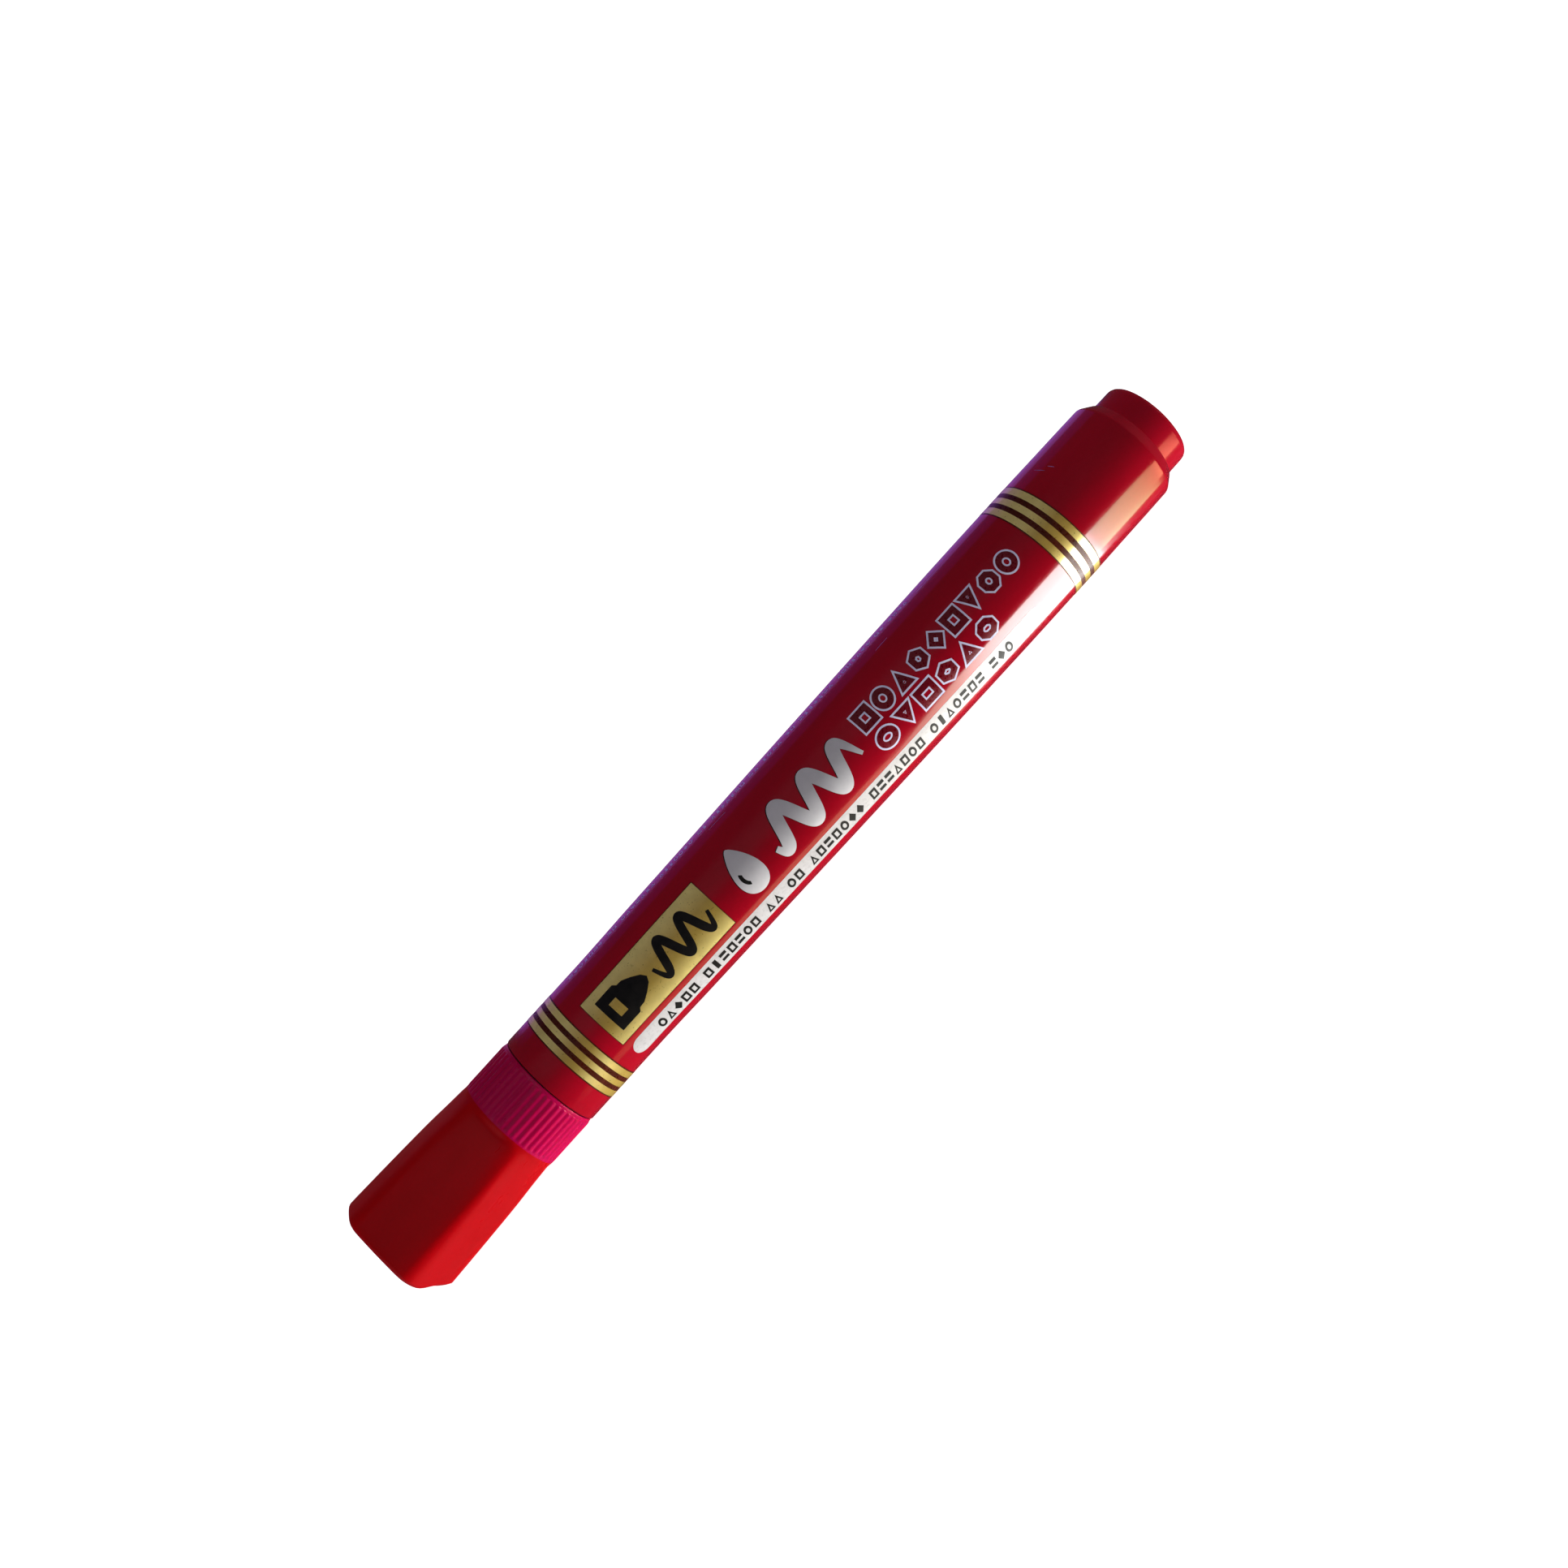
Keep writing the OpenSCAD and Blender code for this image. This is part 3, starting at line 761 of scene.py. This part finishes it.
# a few hairline scratches from handling
for i, (x, v, dx, dv) in enumerate(((33.2, -8.6, 4.2, 0.05), (54.2, -7.3, 0.5, 1.6), (55.4, -5.9, 0.3, 1.0),
                                    (-6.0, -7.4, 3.0, 0.1), (24.0, -6.4, 2.2, -0.12))):
    shares = np.linspace(0, 1, 9)
    path = [(x + dx * t, v + dv * t + 0.05 * math.sin(3 * t + i)) for t in shares]
    widths = [0.03 + 0.04 * math.sin(math.pi * t) for t in shares]
    printed(f"scratch_{i + 1}", [stroke(path, widths)], 0.006, violet_ink)


# ---------------------------------------------------------------- stage, light and camera

def stage_mesh(name, verts, faces, material):
    mesh = bpy.data.meshes.new(name)
    mesh.from_pydata(verts, [], faces)
    mesh.materials.append(material)
    obj = bpy.data.objects.new(name, mesh)
    bpy.context.scene.collection.objects.link(obj)
    return obj


def floor_material(name):
    mat, tree, shader = node_material(name)
    shader.inputs["Base Color"].default_value = (0.86, 0.86, 0.87, 1)
    shader.inputs["Roughness"].default_value = 0.9
    shader.inputs["Specular IOR Level"].default_value = 0.1
    shader.inputs["Emission Color"].default_value = (1, 1, 1, 1)
    shader.inputs["Emission Strength"].default_value = 0.98
    return mat


FLOOR_HALF = 3.0        # metres
WALL_RADIUS = 2.9
WALL_HEIGHT = 5.0
WALL_SIDES = 48
pale = floor_material("floor")
# the two halves look alike; only the front half throws light back up at the marker
for name, y0, y1, bounce in (("floor_front", -FLOOR_HALF, 0, True), ("floor_back", 0, FLOOR_HALF, False)):
    corners = [(-FLOOR_HALF, y0, 0), (FLOOR_HALF, y0, 0), (FLOOR_HALF, y1, 0), (-FLOOR_HALF, y1, 0)]
    floor = stage_mesh(name, corners, [(0, 1, 2, 3)], pale)
    floor.visible_glossy = False
    floor.visible_shadow = False
    floor.visible_diffuse = bounce


# pale round wall at the floor's edge, for low cameras
wall_verts, wall_faces = [], []
for k in range(WALL_SIDES):
    t = 2 * math.pi * k / WALL_SIDES
    x, y = WALL_RADIUS * math.cos(t), WALL_RADIUS * math.sin(t)
    wall_verts += [(x, y, -0.02), (x, y, WALL_HEIGHT)]
    n = (k + 1) % WALL_SIDES
    wall_faces.append((2 * k, 2 * n, 2 * n + 1, 2 * k + 1))
wall = stage_mesh("wall", wall_verts, wall_faces, floor_material("wall"))
wall.visible_glossy = False
wall.visible_diffuse = False
wall.visible_shadow = False


def direction(turn_deg):
    """Unit vector across the axis, at a turn from the top towards -Y."""
    t = math.radians(turn_deg)
    return Vector((0, -math.sin(t), math.cos(t)))


def area_light(name, turn_deg, distance, size_x, size_y, power, colour, x=0.0):
    """Soft light at a turn round the marker, aimed at its middle. Reflections don't see it."""
    data = bpy.data.lights.new(name, "AREA")
    data.shape = "RECTANGLE"
    data.size, data.size_y = size_x, size_y
    data.energy = power
    data.color = colour
    obj = bpy.data.objects.new(name, data)
    bpy.context.scene.collection.objects.link(obj)
    centre = Vector((0, 0, AXIS_Z * MM))
    at = Vector((x, 0, AXIS_Z * MM)) + direction(turn_deg) * distance
    obj.location = at
    obj.rotation_mode = "QUATERNION"
    obj.rotation_quaternion = (centre - at).to_track_quat("-Z", "X")
    obj.visible_glossy = False


area_light("key", 102, 0.5, 0.35, 0.42, 4.9, (1.0, 0.97, 0.93), x=0.08)
area_light("fill", -14, 0.6, 0.5, 0.4, 0.78, (0.97, 0.9, 1.0))
area_light("back", -142, 0.5, 0.5, 0.3, 2.0, (1.0, 0.93, 0.96))


def end_light(name, x, power):
    """Soft light that faces one end of the marker."""
    data = bpy.data.lights.new(name, "AREA")
    data.size = 0.25
    data.energy = power
    obj = bpy.data.objects.new(name, data)
    bpy.context.scene.collection.objects.link(obj)
    obj.location = (x, 0, 0.14)
    obj.rotation_mode = "QUATERNION"
    obj.rotation_quaternion = (Vector((0, 0, 0.01)) - obj.location).to_track_quat("-Z", "Y")
    obj.visible_glossy = False


end_light("cap_end_light", -0.5, 0.5)
end_light("plug_end_light", 0.5, 0.6)


CARD_DISTANCE = 0.15    # metres from the marker's long axis
CARD_STEPS = 20         # mesh steps across a card


def card(name, outline, stops, strength):
    """Card that only reflections see. outline is [(x mm, lower turn, upper turn)];
    stops are (share of its length, colour)."""
    mat = bpy.data.materials.new(name)
    mat.use_nodes = True
    tree = mat.node_tree
    tree.nodes.clear()
    out = tree.nodes.new("ShaderNodeOutputMaterial")
    emit = tree.nodes.new("ShaderNodeEmission")
    emit.inputs["Strength"].default_value = strength
    tree.links.new(emit.outputs[0], out.inputs["Surface"])
    where = tree.nodes.new("ShaderNodeTexCoord")
    split = tree.nodes.new("ShaderNodeSeparateXYZ")
    tree.links.new(where.outputs["Generated"], split.inputs[0])
    shade = ramp(tree, split, stops)
    tree.links.new(shade.outputs[0], emit.inputs["Color"])
    mat.cycles.emission_sampling = "NONE"
    verts, faces = [], []
    for x, low, high in outline:
        for k in range(CARD_STEPS + 1):
            d = direction(low + (high - low) * k / CARD_STEPS) * CARD_DISTANCE
            verts.append((x * MM, d.y, d.z + AXIS_Z * MM))
    row = CARD_STEPS + 1
    for i in range(len(outline) - 1):
        for k in range(CARD_STEPS):
            a, b = i * row + k, (i + 1) * row + k
            faces.append((a, a + 1, b + 1, b))
    obj = stage_mesh(name, verts, faces, mat)
    obj.visible_camera = False
    obj.visible_diffuse = False
    obj.visible_shadow = False
    obj.visible_transmission = False


card("window_card", [(15, 90, 100), (30, 84, 132), (48, 71, 136), (60, 68, 136), (96, 67, 136)],
     [(0.0, (0.10, 0.08, 0.05)), (0.18, (0.18, 0.16, 0.12)), (0.45, (0.40, 0.38, 0.31)),
      (0.60, (0.95, 0.95, 0.93)), (1.0, (1.0, 1.0, 1.0))], 14)
card("tail_card", [(97, 68, 122), (117, 70, 122)],
     [(0.0, (0.26, 0.46, 0.28)), (0.45, (0.20, 0.34, 0.18)), (1.0, (0.18, 0.16, 0.07))], 14)
card("plug_card", [(118, 72, 108), (142, 72, 108)],
     [(0.0, (0.55, 0.24, 0.12)), (1.0, (0.45, 0.16, 0.10))], 12)
card("faint_card", [(-60, 78, 92), (30, 78, 94)],
     [(0.0, (0.20, 0.10, 0.05)), (1.0, (1.0, 0.6, 0.35))], 2.5)
card("side_card", [(-62, -112, -84), (125, -112, -84)],
     [(0.0, (0.45, 0.15, 0.9)), (1.0, (0.45, 0.2, 1.0))], 0.18)
card("edge_card", [(-62, -150, -113), (125, -150, -113)],
     [(0.0, (0.5, 0.15, 0.9)), (1.0, (0.5, 0.2, 1.0))], 0.6)

world = bpy.data.worlds.new("studio")
bpy.context.scene.world = world
world.use_nodes = True
backdrop = world.node_tree.nodes["Background"]
backdrop.inputs["Color"].default_value = (0.8, 0.7, 1.0, 1)
backdrop.inputs["Strength"].default_value = 0.04

camera = bpy.data.cameras.new("camera")
camera.lens = 38.5155
camera.sensor_width = 36.0
camera.clip_start, camera.clip_end = 0.01, 20
cam = bpy.data.objects.new("camera", camera)
bpy.context.scene.collection.objects.link(cam)
bpy.context.scene.camera = cam
FOOT_X = -8.17          # point on the marker straight below the camera, mm along it
REACH = 209.34          # camera's distance from the long axis, mm
TURN = 12.0             # camera's turn from the top towards -Y, degrees
RIGHT_SHARES = (0.6733, 0.7393)     # how the picture's right is made of along and across
up = direction(TURN)
across = Vector((0, -math.cos(math.radians(TURN)), -math.sin(math.radians(TURN))))
origin = Vector((FOOT_X, 0, AXIS_Z)) + up * REACH
target = Vector((4.63, 0, AXIS_Z)) - across * 3.24
forward = (target - origin).normalized()
along = (Vector((1, 0, 0)) - forward * forward.x).normalized()
side = forward.cross(along).normalized()
if side.dot(across) < 0:
    side = -side
along_share, side_share = RIGHT_SHARES
right = along * along_share + side * side_share
upward = along * side_share - side * along_share
cam.matrix_world = Matrix((
    (right.x, upward.x, -forward.x, origin.x * MM),
    (right.y, upward.y, -forward.y, origin.y * MM),
    (right.z, upward.z, -forward.z, origin.z * MM),
    (0, 0, 0, 1)))

bpy.context.scene.view_settings.view_transform = "Standard"
